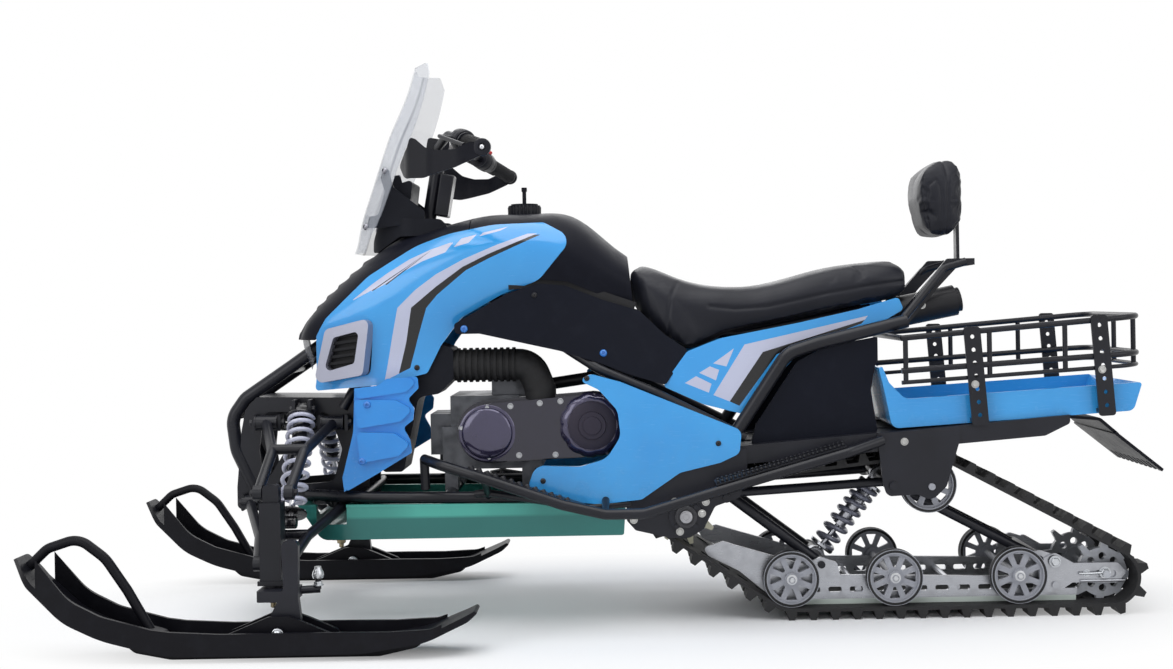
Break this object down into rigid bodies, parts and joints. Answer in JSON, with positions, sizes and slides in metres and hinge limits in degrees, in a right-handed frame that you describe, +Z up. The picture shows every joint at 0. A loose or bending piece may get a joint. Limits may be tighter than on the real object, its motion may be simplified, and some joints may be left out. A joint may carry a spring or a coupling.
{
  "type": "snowmobile",
  "caption": "Utility snowmobile with two steered skis, a driven rubber track on slide rails, a long seat with backrest, windshield and rear cargo basket.",
  "frame": {"origin": "on the ground under the middle of the machine's box", "axes": "+X forward, +Y to the rider's left, +Z up"},
  "size_m": [2.652, 1.03, 1.3614],
  "materials": {
    "black_tube": "gloss black powder coat",
    "blue_panel": "gloss light blue",
    "black_panel": "satin black",
    "black_gloss": "gloss black",
    "teal_pan": "metallic teal",
    "silver_trim": "metallic silver",
    "alloy": "brushed",
    "engine_alloy": "cast and painted grey",
    "dark_cover": "dark gloss",
    "rubber_track": "black rubber",
    "wheel_plastic": "grey",
    "sprocket_plastic": "off-white",
    "seat_vinyl": "black vinyl",
    "clear_screen": "clear",
    "lamp_lens": "clear lens",
    "silver_spring": "light silver paint",
    "duct_rubber": "ribbed black",
    "ski_plastic": "black plastic"
  },
  "bodies": {
    "chassis": {"frame_tubes": "black_tube", "front_bumper": "black_tube", "front_bulkhead": "black_tube", "belly_pan": "teal_pan", "tunnel": "black_tube", "track_brackets": "black_tube", "track_sprockets": "sprocket_plastic", "idler_wheels": "wheel_plastic", "slide_rails": "alloy", "suspension_arms": "black_tube", "track_shock": "silver_spring", "track": "rubber_track", "engine_block": "engine_alloy", "transmission_case": "dark_cover", "intake_duct": "duct_rubber", "air_box": "black_panel", "oil_cooler": "alloy", "hood_cover": "black_panel", "side_fairings": "blue_panel", "tank_cover": "black_gloss", "headlamps": "lamp_lens", "grille_frames": "silver_trim", "grille_inserts": "black_panel", "lower_fairings": "blue_panel", "side_covers": "black_panel", "fuel_cap": "black_panel", "seat": "seat_vinyl", "tail_panels": "blue_panel", "inner_fenders": "black_panel", "foot_well_panels": "blue_panel", "footrests": "black_tube", "cargo_tray": "blue_panel", "cargo_rack": "black_tube", "snow_flap": "black_panel", "backrest_pad": "seat_vinyl", "backrest_frame": "black_tube", "silencer": "black_tube", "windshield": "clear_screen", "dash_pod": "black_panel", "lower_arms": "black_tube", "upper_arms": "black_tube", "front_shocks": "silver_spring", "spindle_housings": "black_tube"},
    "steering": {"handlebar": "black_tube", "hand_guards": "black_panel"},
    "knuckle_body_left": {"knuckle_left": "black_tube"},
    "knuckle_body_right": {"knuckle_right": "black_tube"},
    "ski_body_left": {"ski_left": "ski_plastic", "ski_loop_left": "ski_plastic"},
    "ski_body_right": {"ski_right": "ski_plastic", "ski_loop_right": "ski_plastic"}
  },
  "joints": [
    {"name": "steering_turn", "type": "hinge", "parent": "chassis", "child": "steering", "pos_m": [0.456, 0, 0.984], "axis": [-0.1736, 0, 0.9848], "range_deg": [-25, 25]},
    {"name": "kingpin_left", "type": "hinge", "parent": "chassis", "child": "knuckle_body_left", "pos_m": [0.769, 0.4, 0.2], "axis": [0, 0, 1], "range_deg": [-25, 25]},
    {"name": "kingpin_right", "type": "hinge", "parent": "chassis", "child": "knuckle_body_right", "pos_m": [0.769, -0.4, 0.2], "axis": [0, 0, 1], "range_deg": [-25, 25]},
    {"name": "ski_pitch_left", "type": "hinge", "parent": "knuckle_body_left", "child": "ski_body_left", "pos_m": [0.739, 0.45, 0.056], "axis": [0, 1, 0], "range_deg": [-10, 10]},
    {"name": "ski_pitch_right", "type": "hinge", "parent": "knuckle_body_right", "child": "ski_body_right", "pos_m": [0.739, -0.45, 0.056], "axis": [0, 1, 0], "range_deg": [-10, 10]}
  ],
  "couplings": [
    {"joint": "kingpin_left", "follows": "steering_turn", "ratio": 1},
    {"joint": "kingpin_right", "follows": "steering_turn", "ratio": 1}
  ]
}
